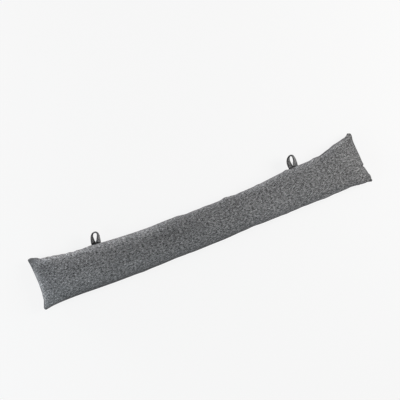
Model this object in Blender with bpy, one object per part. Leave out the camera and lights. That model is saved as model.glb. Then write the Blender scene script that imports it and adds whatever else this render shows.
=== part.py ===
"""Draught excluder: a long filled tube of herringbone tweed with two hanging loops in its top seam.

It lies on its back. +X runs along it, +Y points to the top seam that holds the loops, and +Z is up.
The origin is on the surface that it lies on, under the middle of its outline. Lengths are in metres.
"""

import math
from collections import namedtuple

import bmesh
import bpy
from mathutils import Vector

MM = 0.001

# The filled cover.
LENGTH = 900 * MM  # end seam to end seam
EDGE_THICKNESS = 3 * MM  # the sewn edge: two panels with their turned-in allowances
FACE_SHARE = 0.54  # share of the filling's thickness that lies above the sewn edge
PRESSED_IN = 3 * MM  # how much further the underside would hang if the surface didn't hold it up
CROWN_POWER = 2.15  # 2 gives a round section, and more gives a flatter face with fuller edges
ALONG_STEPS = 84  # quads along each panel
ACROSS_STEPS = 24  # quads across each panel
END_CROWDING = 0.55  # 0 spaces the quads evenly along the panel, 1 crowds them at its ends

# Across sections of the filled cover, in millimetres: the distance along it, its lower and its upper
# long edge, the thickness of the filling, and the height of the sewn edge above the surface.
Section = namedtuple("Section", "along lower upper filling edge_height")
SECTIONS = [
    Section(0, -71.8, 65.4, 0, 20),
    Section(10, -70.1, 63.5, 25, 21),
    Section(26, -68.1, 58.9, 44, 23),
    Section(56, -66.6, 50.3, 59, 27),
    Section(103, -66.6, 44.1, 67, 31),
    Section(135, -67.7, 40.5, 69, 32.5),
    Section(168, -68.8, 40.3, 71, 33.5),
    Section(210, -69.7, 35.9, 73, 34),
    Section(303, -69.9, 30.3, 76, 35.5),
    Section(410, -69.4, 28.3, 78, 36.5),
    Section(513, -67.4, 27.5, 78, 36.5),
    Section(616, -64.9, 29.9, 76, 35.5),
    Section(687, -64.0, 36.1, 73, 34),
    Section(740, -63.2, 38.8, 72, 33),
    Section(795, -62.8, 41.1, 68, 31),
    Section(826, -61.9, 48.6, 62, 28),
    Section(862, -62.3, 58.1, 51, 24),
    Section(888, -64.5, 65.3, 27, 21),
    Section(900, -66.6, 68.1, 0, 20),
]

# How far each end seam stands in from its outermost point, in millimetres, against the share of the
# width from the lower corner (0) to the upper corner (1).
EndInset = namedtuple("EndInset", "across left right")
END_INSETS = [
    EndInset(0.0, 0.0, 0.8),
    EndInset(0.12, 1.5, 0.2),
    EndInset(0.3, 7.3, 7.2),
    EndInset(0.5, 8.4, 7.8),
    EndInset(0.75, 7.0, 9.8),
    EndInset(1.0, 4.4, 9.2),
]

# The hanging loops: one folded strip each, its two ends side by side in the top seam.
STRIP_WIDTH = 12.5 * MM
STRIP_THICKNESS = 3.5 * MM
STRIP_ROUNDING = 0.8 * MM  # the long edges of the strip are folds
STRIP_STEPS = 48  # quads along the strip
PIECE_GAP = 0.3 * MM  # between the strip's ends and the sewn edge that holds them
LEAN_POWER = 1.6  # the strip leaves the seam upright and leans over as it rises

Loop = namedtuple("Loop", "name along height lean_run")
LOOPS = [
    Loop("hanging_loop_left", 183.0 * MM, 30.3 * MM, 4.0 * MM),
    Loop("hanging_loop_right", 723.0 * MM, 32.9 * MM, 5.0 * MM),
]

# Each loop's strip from its left end in the seam (way -1) over its fold (way 0) to its right end (way 1):
# its height as a share of the loop's, its distance from the loop's middle in millimetres, and how many
# degrees its flat side is turned to the face of the cover.
StripRow = namedtuple("StripRow", "way height across turn")
STRIPS = {
    "hanging_loop_left": [
        StripRow(-1.0, 0.0, -6.5, 90),
        StripRow(-0.8, 0.23, -7.0, 66),
        StripRow(-0.6, 0.47, -7.5, 38),
        StripRow(-0.4, 0.71, -7.6, 17),
        StripRow(-0.2, 0.92, -5.2, 5),
        StripRow(0.0, 1.0, 0.0, 0),
        StripRow(0.2, 0.92, 5.2, -5),
        StripRow(0.4, 0.71, 8.0, -17),
        StripRow(0.6, 0.47, 8.0, -38),
        StripRow(0.8, 0.23, 7.0, -66),
        StripRow(1.0, 0.0, 6.5, -90),
    ],
    "hanging_loop_right": [
        StripRow(-1.0, 0.0, -6.5, 90),
        StripRow(-0.8, 0.23, -6.8, 72),
        StripRow(-0.6, 0.47, -7.4, 54),
        StripRow(-0.4, 0.71, -6.8, 36),
        StripRow(-0.2, 0.92, -4.5, 15),
        StripRow(0.0, 1.0, 0.0, 0),
        StripRow(0.2, 0.92, 4.9, -8),
        StripRow(0.4, 0.71, 7.6, -22),
        StripRow(0.6, 0.47, 8.1, -40),
        StripRow(0.8, 0.23, 7.2, -62),
        StripRow(1.0, 0.0, 6.5, -90),
    ],
}

TWEED_GREY = (0.145, 0.147, 0.155, 1.0)
STRIP_GREY = (0.12, 0.122, 0.13, 1.0)
CLOTH_ROUGHNESS = 0.9


def read_table(rows, key, column, at):
    """The value of a column at a place along a table, on a smooth curve through its rows."""
    places = [getattr(row, key) for row in rows]
    values = [getattr(row, column) for row in rows]
    last = len(rows) - 1
    at = min(max(at, places[0]), places[-1])
    start = min(sum(place <= at for place in places) - 1, last - 1)

    def slope(index):
        before, after = max(index - 1, 0), min(index + 1, last)
        return (values[after] - values[before]) / (places[after] - places[before])

    step = places[start + 1] - places[start]
    share = (at - places[start]) / step
    rise = (values[start + 1] - values[start]) * share * share * (3 - 2 * share)
    leaving = share * (1 - share) ** 2 * step * slope(start)
    arriving = share * share * (share - 1) * step * slope(start + 1)
    return values[start] + rise + leaving + arriving


def end_seams(across_share):
    """How far along the cover its left and its right end seam lie, at a share of its width."""
    left = read_table(END_INSETS, "across", "left", across_share) * MM
    right = LENGTH - read_table(END_INSETS, "across", "right", across_share) * MM
    return left, right


def cover_point(along_share, across_share, panel):
    """A point of the face panel (1), the back panel (-1) or the middle of the sewn edge (0)."""
    left, right = end_seams(across_share)
    x = left + (right - left) * along_share - LENGTH / 2
    along = LENGTH * along_share / MM
    lower, upper, filling, edge_height = (
        read_table(SECTIONS, "along", column, along) * MM for column in Section._fields[1:]
    )
    y = lower + (upper - lower) * across_share
    crown = (1 - abs(2 * across_share - 1) ** CROWN_POWER) ** (1 / CROWN_POWER)
    if panel > 0:
        depth = FACE_SHARE * filling
    else:
        depth = (1 - FACE_SHARE) * filling + min(PRESSED_IN, filling / 10)
    z = edge_height + panel * (EDGE_THICKNESS / 2 + depth * crown)
    return Vector((x, y, max(z, 0)))


def doubled_grid(along_steps, across_steps):
    """A closed body of two unit grids, one on the other, with walls between them."""
    bm = bmesh.new()
    bmesh.ops.create_grid(bm, x_segments=along_steps, y_segments=across_steps, size=0.5)
    twin = bmesh.ops.extrude_face_region(bm, geom=bm.faces[:])["geom"]
    twin_verts = [item for item in twin if isinstance(item, bmesh.types.BMVert)]
    bmesh.ops.translate(bm, verts=twin_verts, vec=(0, 0, 1))
    bmesh.ops.recalc_face_normals(bm, faces=bm.faces[:])
    return bm


def crowded(share, amount):
    """A share from 0 to 1 whose steps are crowded towards both ends by an amount from 0 to 1."""
    return (1 - amount) * share + amount * (1 - math.cos(math.pi * share)) / 2


def make_cover():
    """The filled cover: two crowned panels with the sewn edge between them, flat where it rests."""
    bm = doubled_grid(ALONG_STEPS, ACROSS_STEPS)
    for vert in bm.verts:
        along_share = crowded(vert.co.x + 0.5, END_CROWDING)
        across_share = crowded(vert.co.y + 0.5, 1)
        vert.co = cover_point(along_share, across_share, 1 if vert.co.z > 0.5 else -1)
    add_object("cover", bm, TWEED_GREY)


def seam_frame(along):
    """The seat of a loop on the top seam at a distance along it: a point and three directions."""
    left, right = end_seams(1)
    before, here, after = (
        cover_point((place - left) / (right - left), 1, 0)
        for place in (along - STRIP_WIDTH, along, along + STRIP_WIDTH)
    )
    on_way = (after - before).normalized()
    up = Vector((0, 0, 1))
    outward = up.cross(on_way).normalized()
    highest = max((point - here).dot(outward) for point in (before, here, after))
    return here + outward * (highest + PIECE_GAP), on_way, outward, up


def strip_middle(loop, way):
    """A point of the strip's middle line, across and up from the seam, and its turn there."""
    height, across, turn = (
        read_table(STRIPS[loop.name], "way", column, way) for column in StripRow._fields[1:]
    )
    lean = loop.lean_run * max(height, 0) ** LEAN_POWER
    return Vector((across * MM + lean, height * (loop.height - STRIP_THICKNESS / 2))), math.radians(turn)


def make_loop(loop):
    """A hanging loop: a flat strip bent up over its fold and turned flat into the seam at both ends."""
    seat, on_way, outward, up = seam_frame(loop.along)
    small_way = 0.5 / STRIP_STEPS
    bm = doubled_grid(STRIP_STEPS, 3)
    for vert in bm.verts:
        way = 2 * vert.co.x
        (across, height), turn = strip_middle(loop, way)
        if abs(way) > 1 - small_way:
            run = Vector((0, -way))
        else:
            run = strip_middle(loop, way + small_way)[0] - strip_middle(loop, way - small_way)[0]
        run.normalize()
        ahead = on_way * run.x + outward * run.y
        beside = up.cross(ahead)
        flat_way = up * math.cos(turn) + beside * math.sin(turn)
        at_edge = abs(vert.co.y) > 0.25
        half_width = STRIP_WIDTH / 2 - (0 if at_edge else STRIP_ROUNDING)
        half_thickness = STRIP_THICKNESS / 2 - (STRIP_ROUNDING if at_edge else 0)
        middle = seat + on_way * across + outward * height
        in_width = flat_way * math.copysign(half_width, vert.co.y)
        in_thickness = ahead.cross(flat_way) * math.copysign(half_thickness, vert.co.z - 0.5)
        vert.co = middle + in_width + in_thickness
    add_object(loop.name, bm, STRIP_GREY)


def add_object(name, bm, colour):
    """A smooth-shaded object with its own material from a finished bmesh."""
    mesh = bpy.data.meshes.new(name)
    bm.to_mesh(mesh)
    bm.free()
    mesh.shade_smooth()
    material = bpy.data.materials.new(name + "_cloth")
    material.use_nodes = True
    shader = material.node_tree.nodes["Principled BSDF"]
    shader.inputs["Base Color"].default_value = colour
    shader.inputs["Roughness"].default_value = CLOTH_ROUGHNESS
    mesh.materials.append(material)
    bpy.context.scene.collection.objects.link(bpy.data.objects.new(name, mesh))


def main():
    """Builds the cover and its loops in an empty scene."""
    for old in list(bpy.data.objects):
        bpy.data.objects.remove(old)
    make_cover()
    for loop in LOOPS:
        make_loop(loop)


main()
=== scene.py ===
"""Looks of a draught excluder: a long filled tube of herringbone tweed with two hanging loops.

It lies on its back. +X runs along it, +Y points to the top seam that holds the loops, and +Z is up,
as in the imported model. Lengths are in metres, and the tables are in millimetres.
"""

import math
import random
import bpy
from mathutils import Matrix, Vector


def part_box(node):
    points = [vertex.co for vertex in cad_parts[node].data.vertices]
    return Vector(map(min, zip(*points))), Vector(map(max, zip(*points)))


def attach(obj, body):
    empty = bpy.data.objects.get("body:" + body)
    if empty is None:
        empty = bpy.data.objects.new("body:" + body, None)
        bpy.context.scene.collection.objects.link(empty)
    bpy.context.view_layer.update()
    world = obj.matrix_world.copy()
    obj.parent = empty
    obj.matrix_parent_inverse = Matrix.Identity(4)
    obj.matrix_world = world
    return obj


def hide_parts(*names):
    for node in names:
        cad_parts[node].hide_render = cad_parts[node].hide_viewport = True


bl_info = {
    "name": "Draught Excluder",
    "version": (1, 0, 0),
    "blender": (4, 5, 0),
    "location": "View3D > Sidebar > Draught Excluder",
    "description": "Makes a filled tweed draught excluder, its hanging loops and a plain studio",
    "category": "Object",
}

from collections import namedtuple

import bmesh
import bpy
from mathutils import Matrix, Vector, geometry, noise

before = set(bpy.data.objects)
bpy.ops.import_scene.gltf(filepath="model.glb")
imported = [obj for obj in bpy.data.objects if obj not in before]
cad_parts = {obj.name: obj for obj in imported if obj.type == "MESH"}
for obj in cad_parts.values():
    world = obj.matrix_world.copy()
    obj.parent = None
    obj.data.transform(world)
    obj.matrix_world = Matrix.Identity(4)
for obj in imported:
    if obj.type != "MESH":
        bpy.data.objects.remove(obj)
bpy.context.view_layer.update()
COVER_LOW, COVER_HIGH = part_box("cover")

MM = 0.001
UP = Vector((0, 0, 1))
AT_EDGE = 0.99  # a share or a level beyond this is on the edge itself

# The cover's outline and its filling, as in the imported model. Across sections in millimetres: the
# distance along it, its lower and its upper long edge, the thickness of the filling, and the height of
# the sewn edge above the surface.
Section = namedtuple("Section", "along lower upper filling edge_height")
SECTIONS = [
    Section(0, -71.8, 65.4, 0, 20),
    Section(10, -70.1, 63.5, 25, 21),
    Section(26, -68.1, 58.9, 44, 23),
    Section(56, -66.6, 50.3, 59, 27),
    Section(103, -66.6, 44.1, 67, 31),
    Section(135, -67.7, 40.5, 69, 32.5),
    Section(168, -68.8, 40.3, 71, 33.5),
    Section(210, -69.7, 35.9, 73, 34),
    Section(303, -69.9, 30.3, 76, 35.5),
    Section(410, -69.4, 28.3, 78, 36.5),
    Section(513, -67.4, 27.5, 78, 36.5),
    Section(616, -64.9, 29.9, 76, 35.5),
    Section(687, -64.0, 36.1, 73, 34),
    Section(740, -63.2, 38.8, 72, 33),
    Section(795, -62.8, 41.1, 68, 31),
    Section(826, -61.9, 48.6, 62, 28),
    Section(862, -62.3, 58.1, 51, 24),
    Section(888, -64.5, 65.3, 27, 21),
    Section(900, -66.6, 68.1, 0, 20),
]

# How far each end seam stands in from its outermost point, in millimetres, against the share of the
# width from the lower corner (0) to the upper corner (1).
EndInset = namedtuple("EndInset", "across left right")
END_INSETS = [
    EndInset(0.0, 0.0, 0.8),
    EndInset(0.12, 1.5, 0.2),
    EndInset(0.3, 7.3, 7.2),
    EndInset(0.5, 8.4, 7.8),
    EndInset(0.75, 7.0, 9.8),
    EndInset(1.0, 4.4, 9.2),
]

# Small bends of the seam on each of its sides, in millimetres: the place along that side (from the left
# end for the long sides, from the middle of the outline for the ends), how far the bend reaches each
# way, and how far it stands out.
SEAM_BENDS = {
    "upper": [
        (10, 7, 1.4), (23, 6, 1.4), (31, 4.5, -2.0), (50, 9, 0.8), (52, 4, 1.6), (60, 2.5, 0.8),
        (65, 4, 1.7), (72, 9, 1.4), (86, 4, 0.8), (99, 4, -1.1), (106, 4, 0.8), (120, 10, -1.0),
        (127, 5, 1.8), (372, 34, 1.7), (401, 11, 1.3), (427, 9, -1.2), (479, 9, 0.8), (535.5, 9.5, 3.3),
        (552, 4, 1.0), (565, 6, -0.8), (624, 4, 1.2), (703, 14, 0.9), (708, 5, 1.9), (739, 4, 0.9),
        (788, 9, 2.0), (822, 6, 0.6), (846, 10, 1.6), (880, 4, -0.9), (893, 3.2, 3.0), (899, 3, 1.0),
    ],
    "lower": [
        (273, 12, 1.0), (362, 26, -1.3), (394, 7, -0.7), (490, 16, 0.5), (537, 16, -0.9),
        (573, 18, -1.9), (664, 6, 0.9), (708, 9, -0.8), (772, 13, 1.0), (797, 7, -0.6), (844, 10, -1.2),
        (864, 4, 1.0), (876, 9, 1.0), (887, 4, -0.9), (897, 4, 0.9), (450, 900, 0.3),
    ],
    "left": [
        (-67, 7, 3.0), (-47, 5, -1.3), (-35, 4, 0.6), (-21, 5, 0.6), (10, 45, 0.7), (60, 8, 0.9),
        (66, 3, 1.2),
    ],
    "right": [
        (-67, 4, 2.0), (-61, 4, -0.5), (-48.5, 3, 0.8), (-45, 3, -1.4), (-36, 3, 0.5), (-28, 3, 1.2),
        (-22.3, 1.8, -2.8), (-16.5, 4, 1.6), (10, 45, 0.9), (61, 7, 1.1),
    ],
}

# Where the seam is turned up to the face, in the same way: how far the face's edge stands in.
SEAM_TURNS = {"lower": [(450, 900, 1.3)], "right": [(0, 200, 1.1)], "upper": [(822, 26, 3.2)]}

# The flattened corners that the filling doesn't reach: the end (-1 left, 1 right), the side (-1 lower,
# 1 upper), how much of the filling is missing there, and how far the corner reaches in millimetres.
Corner = namedtuple("Corner", "end side missing reach")
CORNERS = [
    Corner(-1, 1, 0.85, 25),
    Corner(-1, -1, 0.75, 15),
    Corner(1, 1, 0.8, 15),
    Corner(1, -1, 0.75, 15),
]

# Soft swells (above 0) and dents (below 0) of the face, in millimetres: their place from the middle of
# the outline, how far they reach each way, how high they stand, and how much painted light (above 0) or
# painted shade is put on the tweed there; rows of no height are painted light or shade alone.
Swell = namedtuple("Swell", "x y reach_x reach_y height tone")
SWELLS = [
    # the light band below the top seam, left of the middle
    Swell(-392, 49, 28, 8, 1.6, 0.5),
    Swell(-336, 39, 30, 9, 2.4, 0.52),
    Swell(-276, 33, 30, 8, 2.2, 0.34),
    Swell(-215, 27, 34, 9, 2.4, 0.36),
    Swell(-170, 10, 9, 9, 0.8, 0.18),
    Swell(-138, 22, 24, 11, 2.8, 0.5),
    Swell(-90, 22, 20, 8, 1.6, 0.22),
    # the dark trough below it
    Swell(-412, 24, 20, 24, -1.6, -0.2),
    Swell(-326, -8, 9, 9, -1.4, -0.12),
    Swell(-236, -12, 9, 9, -1.4, -0.14),
    Swell(-192, -10, 22, 10, -1.2, -0.12),
    Swell(-134, -8, 28, 9, -1.0, -0.12),
    Swell(-93, -3, 24, 9, -2.0, -0.22),
    Swell(-50, -8, 20, 12, -0.8, -0.06),
    # the fuller lower half
    Swell(-374, -31, 14, 13, 1.4, 0.18),
    Swell(-302, -34, 32, 17, 1.6, 0.18),
    Swell(-160, -40, 16, 7, 0.8, 0.06),
    Swell(225, -26, 95, 30, 1.0, 0.1),
    Swell(205, -36, 20, 16, 0.8, 0.06),
    Swell(244, -20, 20, 18, 0.8, 0.05),
    Swell(292, -30, 26, 20, 0.8, 0.05),
    Swell(128, -22, 10, 22, 1.2, 0.12),
    Swell(36, -26, 34, 16, 0.8, 0.06),
    Swell(258, -28, 5, 14, -0.8, -0.1),
    # right of the middle
    Swell(105, 6, 7, 20, -1.0, -0.1),
    Swell(68, 0, 7, 8, -0.8, -0.06),
    Swell(160, 9, 14, 4, -0.6, -0.09),
    Swell(170, 27, 30, 7, 1.2, 0.28),
    Swell(255, 33, 50, 8, 1.2, 0.26),
    Swell(315, 33, 14, 12, 1.4, 0.3),
    Swell(310, 4, 6, 8, -0.8, -0.1),
    Swell(432, 44, 16, 22, -1.2, -0.1),
    Swell(429.6, 48.5, 4, 4, -1.8, -0.2),
    Swell(435, 62, 4, 4, 0.9, 0.2),
    # broad, faint ones
    Swell(-60, -8, 60, 16, -0.6, -0.12),
    Swell(-408, 22, 28, 18, -0.4, -0.07),
    Swell(-340, -38, 36, 10, 0.5, 0.12),
    Swell(-340, -23, 36, 6, 0.0, 0.14),
    Swell(-340, 24, 34, 5, 0.0, 0.1),
    Swell(-340, 2, 36, 7, 0.0, -0.08),
    Swell(-185, 4, 60, 12, -0.3, -0.07),
    Swell(-200, -40, 50, 6, 0.3, 0.16),
    Swell(-185, 22, 60, 5, 0.0, 0.14),
    Swell(-60, -20, 56, 5, 0.0, -0.08),
    Swell(60, -41, 56, 8, 0.0, 0.06),
    Swell(62, 8, 60, 14, -0.3, -0.08),
    Swell(180, -38, 62, 24, 0.4, 0.09),
    Swell(180, 24, 50, 5, 0.0, 0.18),
    Swell(335, -8, 28, 5, 0.0, 0.1),
    Swell(405, -31, 28, 6, 0.0, -0.1),
    Swell(405, -9, 24, 5, 0.0, 0.08),
    Swell(405, 12, 26, 6, 0.0, 0.12),
    Swell(390, -27, 14, 6, -0.4, -0.14),
    Swell(395, -19, 5, 6, -0.5, -0.12),
    Swell(-424, -58, 22, 10, 0.0, 0.24),
    Swell(-441, 38, 8, 10, 0.0, -0.3),
    Swell(437, 0, 6, 10, 0.0, -0.2),
]

# The left upper corner, where the cloth is folded under: its place and how far it reaches in
# millimetres, how much painted shade it gets there, and how even its tone.
NIB_X, NIB_Y, NIB_REACH = -437, 60, 10
NIB_SHADE, NIB_EVENNESS = 0.14, 1.3

# Creases of the face, in millimetres: the two ends of each line, how wide it is, how high it stands
# (below 0 for a fold that lies in) and its tone: painted light (above 0) or painted shade (below 0) along
# the crease, also where it has no height. A crease is strongest at its first end.
Crease = namedtuple("Crease", "x0 y0 x1 y1 width height tone")
CREASES = [
    Crease(443, -21.5, 404, -10, 3.2, -1.8, -0.5),
    Crease(441, -27, 410, -19, 3.4, 1.1, 0.32),
    Crease(441, -14, 415, -6, 3.4, 1.0, 0.2),
    Crease(346, 41, 394, 53, 3.6, 1.3, 0.3),
    Crease(296, -53.2, 412, -53.2, 3.4, -0.6, -0.16),
    Crease(292, -59.3, 392, -58.8, 3.2, 0.0, 0.2),
    Crease(300, -47.5, 352, -47.5, 4.0, 0.0, 0.07),
    Crease(350, 38.8, 432, 60.4, 3.0, 0.0, 0.14),
    Crease(396, 51.2, 430, 60.2, 3.4, 0.0, 0.2),
    Crease(354, 33.8, 400, 46, 3.0, -0.2, -0.08),
    Crease(340, 34, 376, 44, 3.2, -1.8, -0.3),
    Crease(-418, 54, -376, 45, 3.4, 1.3, 0.16),
    Crease(-372, 43, -330, 37, 3.4, 1.2, 0.14),
    Crease(-424, 44, -398, 34, 3.6, -1.0, -0.12),
    Crease(-26, 22, -27, -26, 6.0, -1.8, -0.16),
    Crease(86, 27, 92, 8, 4.0, 1.0, 0.08),
    Crease(74, 24, 80, 8, 4.0, -0.9, -0.08),
    Crease(-441, 58, -420, 40, 4.0, -0.9, -0.1),
    Crease(436, 56, 414, 36, 4.0, -0.9, -0.1),
    Crease(-443, -64, -420, -44, 4.0, -0.8, -0.08),
    Crease(444, -60, 422, -44, 4.0, -0.8, -0.08),
]
CREASE_LEAD = 0.3  # how far a crease reaches past its first end, as a share of its length
CREASE_END = 3.0  # how many of its widths from its line a crease is felt

EDGE_THICKNESS = 3 * MM  # the sewn edge: two panels with their turned-in allowances
FACE_SHARE = 0.54  # share of the filling's thickness that lies above the sewn edge
PRESSED_IN = 3 * MM  # how much further the underside would hang if the surface didn't hold it up
CROWN_POWER = 2.15  # 2 gives a round section, and more gives a flatter face with fuller edges
END_CROWDING = 0.35  # 0 spaces the quads evenly along the panel, 1 crowds them at its ends
EDGE_CROWDING = 0.7  # the same across the panel
WALL_CUTS = 3  # rings of points between the two panels, for the lips and the groove of the seam
FOLD_LINES = [0.318, 0.330, 0.342, 0.350, 0.372]  # more lines of points, for the notch in the right end
GROOVE_LEVEL = 0.25  # from the middle of the sewn edge (0) towards a panel (1): the end of its groove
TURN_REACH = 16 * MM  # how far into the face a turned seam draws it
HELD_REACH = 3 * MM  # how far from the seam it holds down the swells and creases of the face
BACK_SHIFT = (1.37, 0.61)  # where on the tweed the back panel is cut, in metres from the face panel

FIRST_WRINKLE = 0.35 * MM  # how uneven the cloth beside the seam is before the filling pushes it out
WRINKLES = 90  # first wrinkles in each metre
LAST_FRAME = 20  # the cloth has come to rest by then

# A pucker beside the seam: its place along that side, how it slants, its width, how far in it is highest,
# and its height.
Pucker = namedtuple("Pucker", "place slant width peak height")
PUCKER_START, PUCKER_SPACING = (2, 12), (9, 24)  # in millimetres, to the first one and between them
PUCKER_REACH = 48 * MM  # how far from the seam puckers are looked for
PUCKER_END = 2.5  # how many of its widths from its middle a pucker is felt
PUCKER_CHANCE = 11  # the seed of their places and sizes
END_RUN = 150 * MM  # how much of an end's seam they are scattered along

# How much painted shade (above 0) or painted light (below 0) the cloth gets in the seam, in a band beside
# it and in a broader band, with the middle of the band, how far the bands reach each way, and how far from
# the corners the cloth beside the seam has its own tone. The shade is painted in the groove and beside the
# lower seam, and the light beside the upper and left seams.
SeamShade = namedtuple("SeamShade", "in_seam band middle reach broad broad_reach corner_fade")
SEAM_SHADES = {
    "lower": SeamShade(0.85, 0.55, 0.0, 14 * MM, 0.3, 30 * MM, 58 * MM),
    "right": SeamShade(0.5, 0.05, 0.0, 6 * MM, 0.0, 6 * MM, 38 * MM),
    "upper": SeamShade(0.1, -0.52, 13 * MM, 8 * MM, 0.0, 6 * MM, 38 * MM),
    "left": SeamShade(0.1, -0.7, 7 * MM, 7 * MM, 0.0, 6 * MM, 38 * MM),
}
# the panels' own edges beside the groove get this share of the painted shade in the seam
PANEL_SHADE = 0.7  # how dark the panels' own edges are beside the groove of the seam
CORNER_EASE = 0.85  # how much of its bands the cloth loses at the corners
BACK_SHADE = 0.8  # how strong the dark bands are on the back panel
RIGHT_EASE = 0.86  # how much of its bands the lower side loses towards the right end
RIGHT_EASE_X, RIGHT_EASE_RUN = 85, 150  # in millimetres, the middle of that change and its run each way

# The hanging loops: their places along the top seam, their heights, how far their tops lean, and how much
# painted shade the cloth gets where their ends go into the seam, along their edges and on their left leg.
Loop = namedtuple("Loop", "name along height lean_run crushed edges left_leg")
LOOPS = [
    Loop("hanging_loop_left", 183.0 * MM, 31.2 * MM, 4.0 * MM, 0.88, 0.2, 0.48),
    Loop("hanging_loop_right", 723.0 * MM, 32.9 * MM, 5.0 * MM, 0.32, 0.62, 0.32),
]
LOOP_GAP = 0.3 * MM  # between the strip's ends and the sewn edge that holds them
LEAN_POWER = 1.6  # the strip leaves the seam upright and leans over as it rises
WAY_STEP = 0.007  # how far before and after a place its run is measured
LENGTH_STEPS = 100  # straight steps that its length is measured in
STRIP_ACROSS_STEPS = 12  # quads across the strip
STRIP_WALL_CUTS = 3  # rings of points between its two faces
STRIP_SHIFT = 31 * MM  # between its two faces' places on the tweed

# The section of the strip, with shares of half its width: where its faces begin to round off, how thick
# it is left at its long edges, how far the layers stand back at the open edge and round out at the fold,
# and how deep and how broad the line is that the stitches press in.
ROUND_FROM = 0.75
EDGE_SHARE = 0.25
OPEN_EDGE_DIP, FOLDED_EDGE_BULGE = 0.16, 0.06
STITCH_PRESS, PRESS_REACH = 0.12, 0.12

# Where the strip gets painted shade: from how far along its ends in the seam are shaded, from how far
# across its edge begins, the run of the change from its left leg to its right one, and the darkest it gets.
BASE_SHADE_FROM, BASE_SHADE_RUN = 0.88, 0.05
DARK_EDGE_FROM = 0.4
LEG_RUN = 0.15
DARKEST = 0.9

STITCH_LINE = 0.66  # where the stitches run, as a share of half the strip's width
STITCH_STEP = 0.085  # from one to the next, as a share of the way from the top to an end
STITCH_END = 0.86  # how far towards the ends they run
STITCH_SIZE = (1.15 * MM, 0.28 * MM, 0.24 * MM)  # half their length, width and thickness
STITCH_RISE = 0.02 * MM  # how far the middle of their thread stands out of the strip

# Each loop's strip from its left end in the seam (way -1) over its fold (way 0) to its right end (way 1):
# its height as a share of the loop's, its distance from the loop's middle in millimetres, and how many
# degrees its flat side is turned to the face of the cover.
StripRow = namedtuple("StripRow", "way height across turn")
STRIPS = {
    "hanging_loop_left": [
        StripRow(-1.0, 0.0, -6.6, 88),
        StripRow(-0.9, 0.115, -6.7, 86),
        StripRow(-0.8, 0.23, -7.4, 56),
        StripRow(-0.6, 0.47, -8.0, 38),
        StripRow(-0.4, 0.72, -8.3, 17),
        StripRow(-0.2, 0.93, -5.8, 5),
        StripRow(0.0, 1.0, 0.0, 0),
        StripRow(0.2, 0.92, 5.2, -5),
        StripRow(0.4, 0.71, 8.0, -20),
        StripRow(0.6, 0.47, 8.0, -40),
        StripRow(0.8, 0.23, 7.2, -58),
        StripRow(0.9, 0.115, 6.1, -86),
        StripRow(1.0, 0.0, 5.9, -90),
    ],
    "hanging_loop_right": [
        StripRow(-1.0, 0.0, -6.6, 90),
        StripRow(-0.9, 0.115, -6.65, 88),
        StripRow(-0.8, 0.23, -7.2, 84),
        StripRow(-0.6, 0.47, -8.1, 64),
        StripRow(-0.4, 0.71, -7.8, 42),
        StripRow(-0.2, 0.92, -5.0, 17),
        StripRow(0.0, 1.0, 0.0, 0),
        StripRow(0.2, 0.92, 4.9, -14),
        StripRow(0.4, 0.71, 7.6, -28),
        StripRow(0.6, 0.47, 8.3, -42),
        StripRow(0.8, 0.23, 6.9, -72),
        StripRow(0.9, 0.115, 6.0, -88),
        StripRow(1.0, 0.0, 5.95, -90),
    ],
}


# Settings -------------------------------------------------


class CoverSettings(bpy.types.PropertyGroup):
    """Sizes of the filled cover."""

    length: bpy.props.FloatProperty(
        name="Length", description="End seam to end seam, read from the packed model",
        default=COVER_HIGH.x - COVER_LOW.x, unit="LENGTH", subtype="DISTANCE",
    )
    along_steps: bpy.props.IntProperty(
        name="Steps Along", description="Quads along each panel", default=270, min=40
    )
    across_steps: bpy.props.IntProperty(
        name="Steps Across", description="Quads across each panel", default=36, min=12
    )
    corner_radius: bpy.props.FloatProperty(
        name="Corner Radius", description="How round the turned corners are", default=4.5 * MM,
        unit="LENGTH", subtype="DISTANCE",
    )
    start_share: bpy.props.FloatProperty(
        name="Start Share", description="How full the cover is before the filling pushes it out",
        default=0.96, subtype="FACTOR",
    )
    pressure: bpy.props.FloatProperty(
        name="Filling Pressure", description="How hard the filling pushes the cloth out", default=4.0
    )
    seam_ease: bpy.props.FloatProperty(
        name="Seam Ease",
        description="How much longer the cloth is than the thread that draws it in at the seam",
        default=0.05, subtype="FACTOR",
    )
    ease_reach: bpy.props.FloatProperty(
        name="Ease Reach", description="How far from the seam the cloth is drawn in", default=16 * MM,
        unit="LENGTH", subtype="DISTANCE",
    )
    most_give: bpy.props.FloatProperty(
        name="Most Give", description="The furthest that the filling may push a point of the cloth",
        default=6 * MM, unit="LENGTH", subtype="DISTANCE",
    )
    pucker: bpy.props.FloatProperty(
        name="Pucker Height", description="How high the strongest puckers beside the seam stand",
        default=1.1 * MM, unit="LENGTH", subtype="DISTANCE",
    )
    lip: bpy.props.FloatProperty(
        name="Seam Lip", description="How far the rolled edge of each panel stands out at the seam",
        default=0.7 * MM, unit="LENGTH", subtype="DISTANCE",
    )
    groove: bpy.props.FloatProperty(
        name="Seam Groove", description="How deep the stitched line lies between the two rolled edges",
        default=1.3 * MM, unit="LENGTH", subtype="DISTANCE",
    )


class LoopSettings(bpy.types.PropertyGroup):
    """Sizes of the hanging loops' strips."""

    width: bpy.props.FloatProperty(
        name="Strip Width", description="Width of the folded strip", default=12.5 * MM, unit="LENGTH",
        subtype="DISTANCE",
    )
    thickness: bpy.props.FloatProperty(
        name="Strip Thickness", description="Thickness of the folded strip's four layers",
        default=3.5 * MM, unit="LENGTH", subtype="DISTANCE",
    )
    steps: bpy.props.IntProperty(
        name="Steps Along", description="Quads along the strip", default=72, min=24
    )


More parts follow.
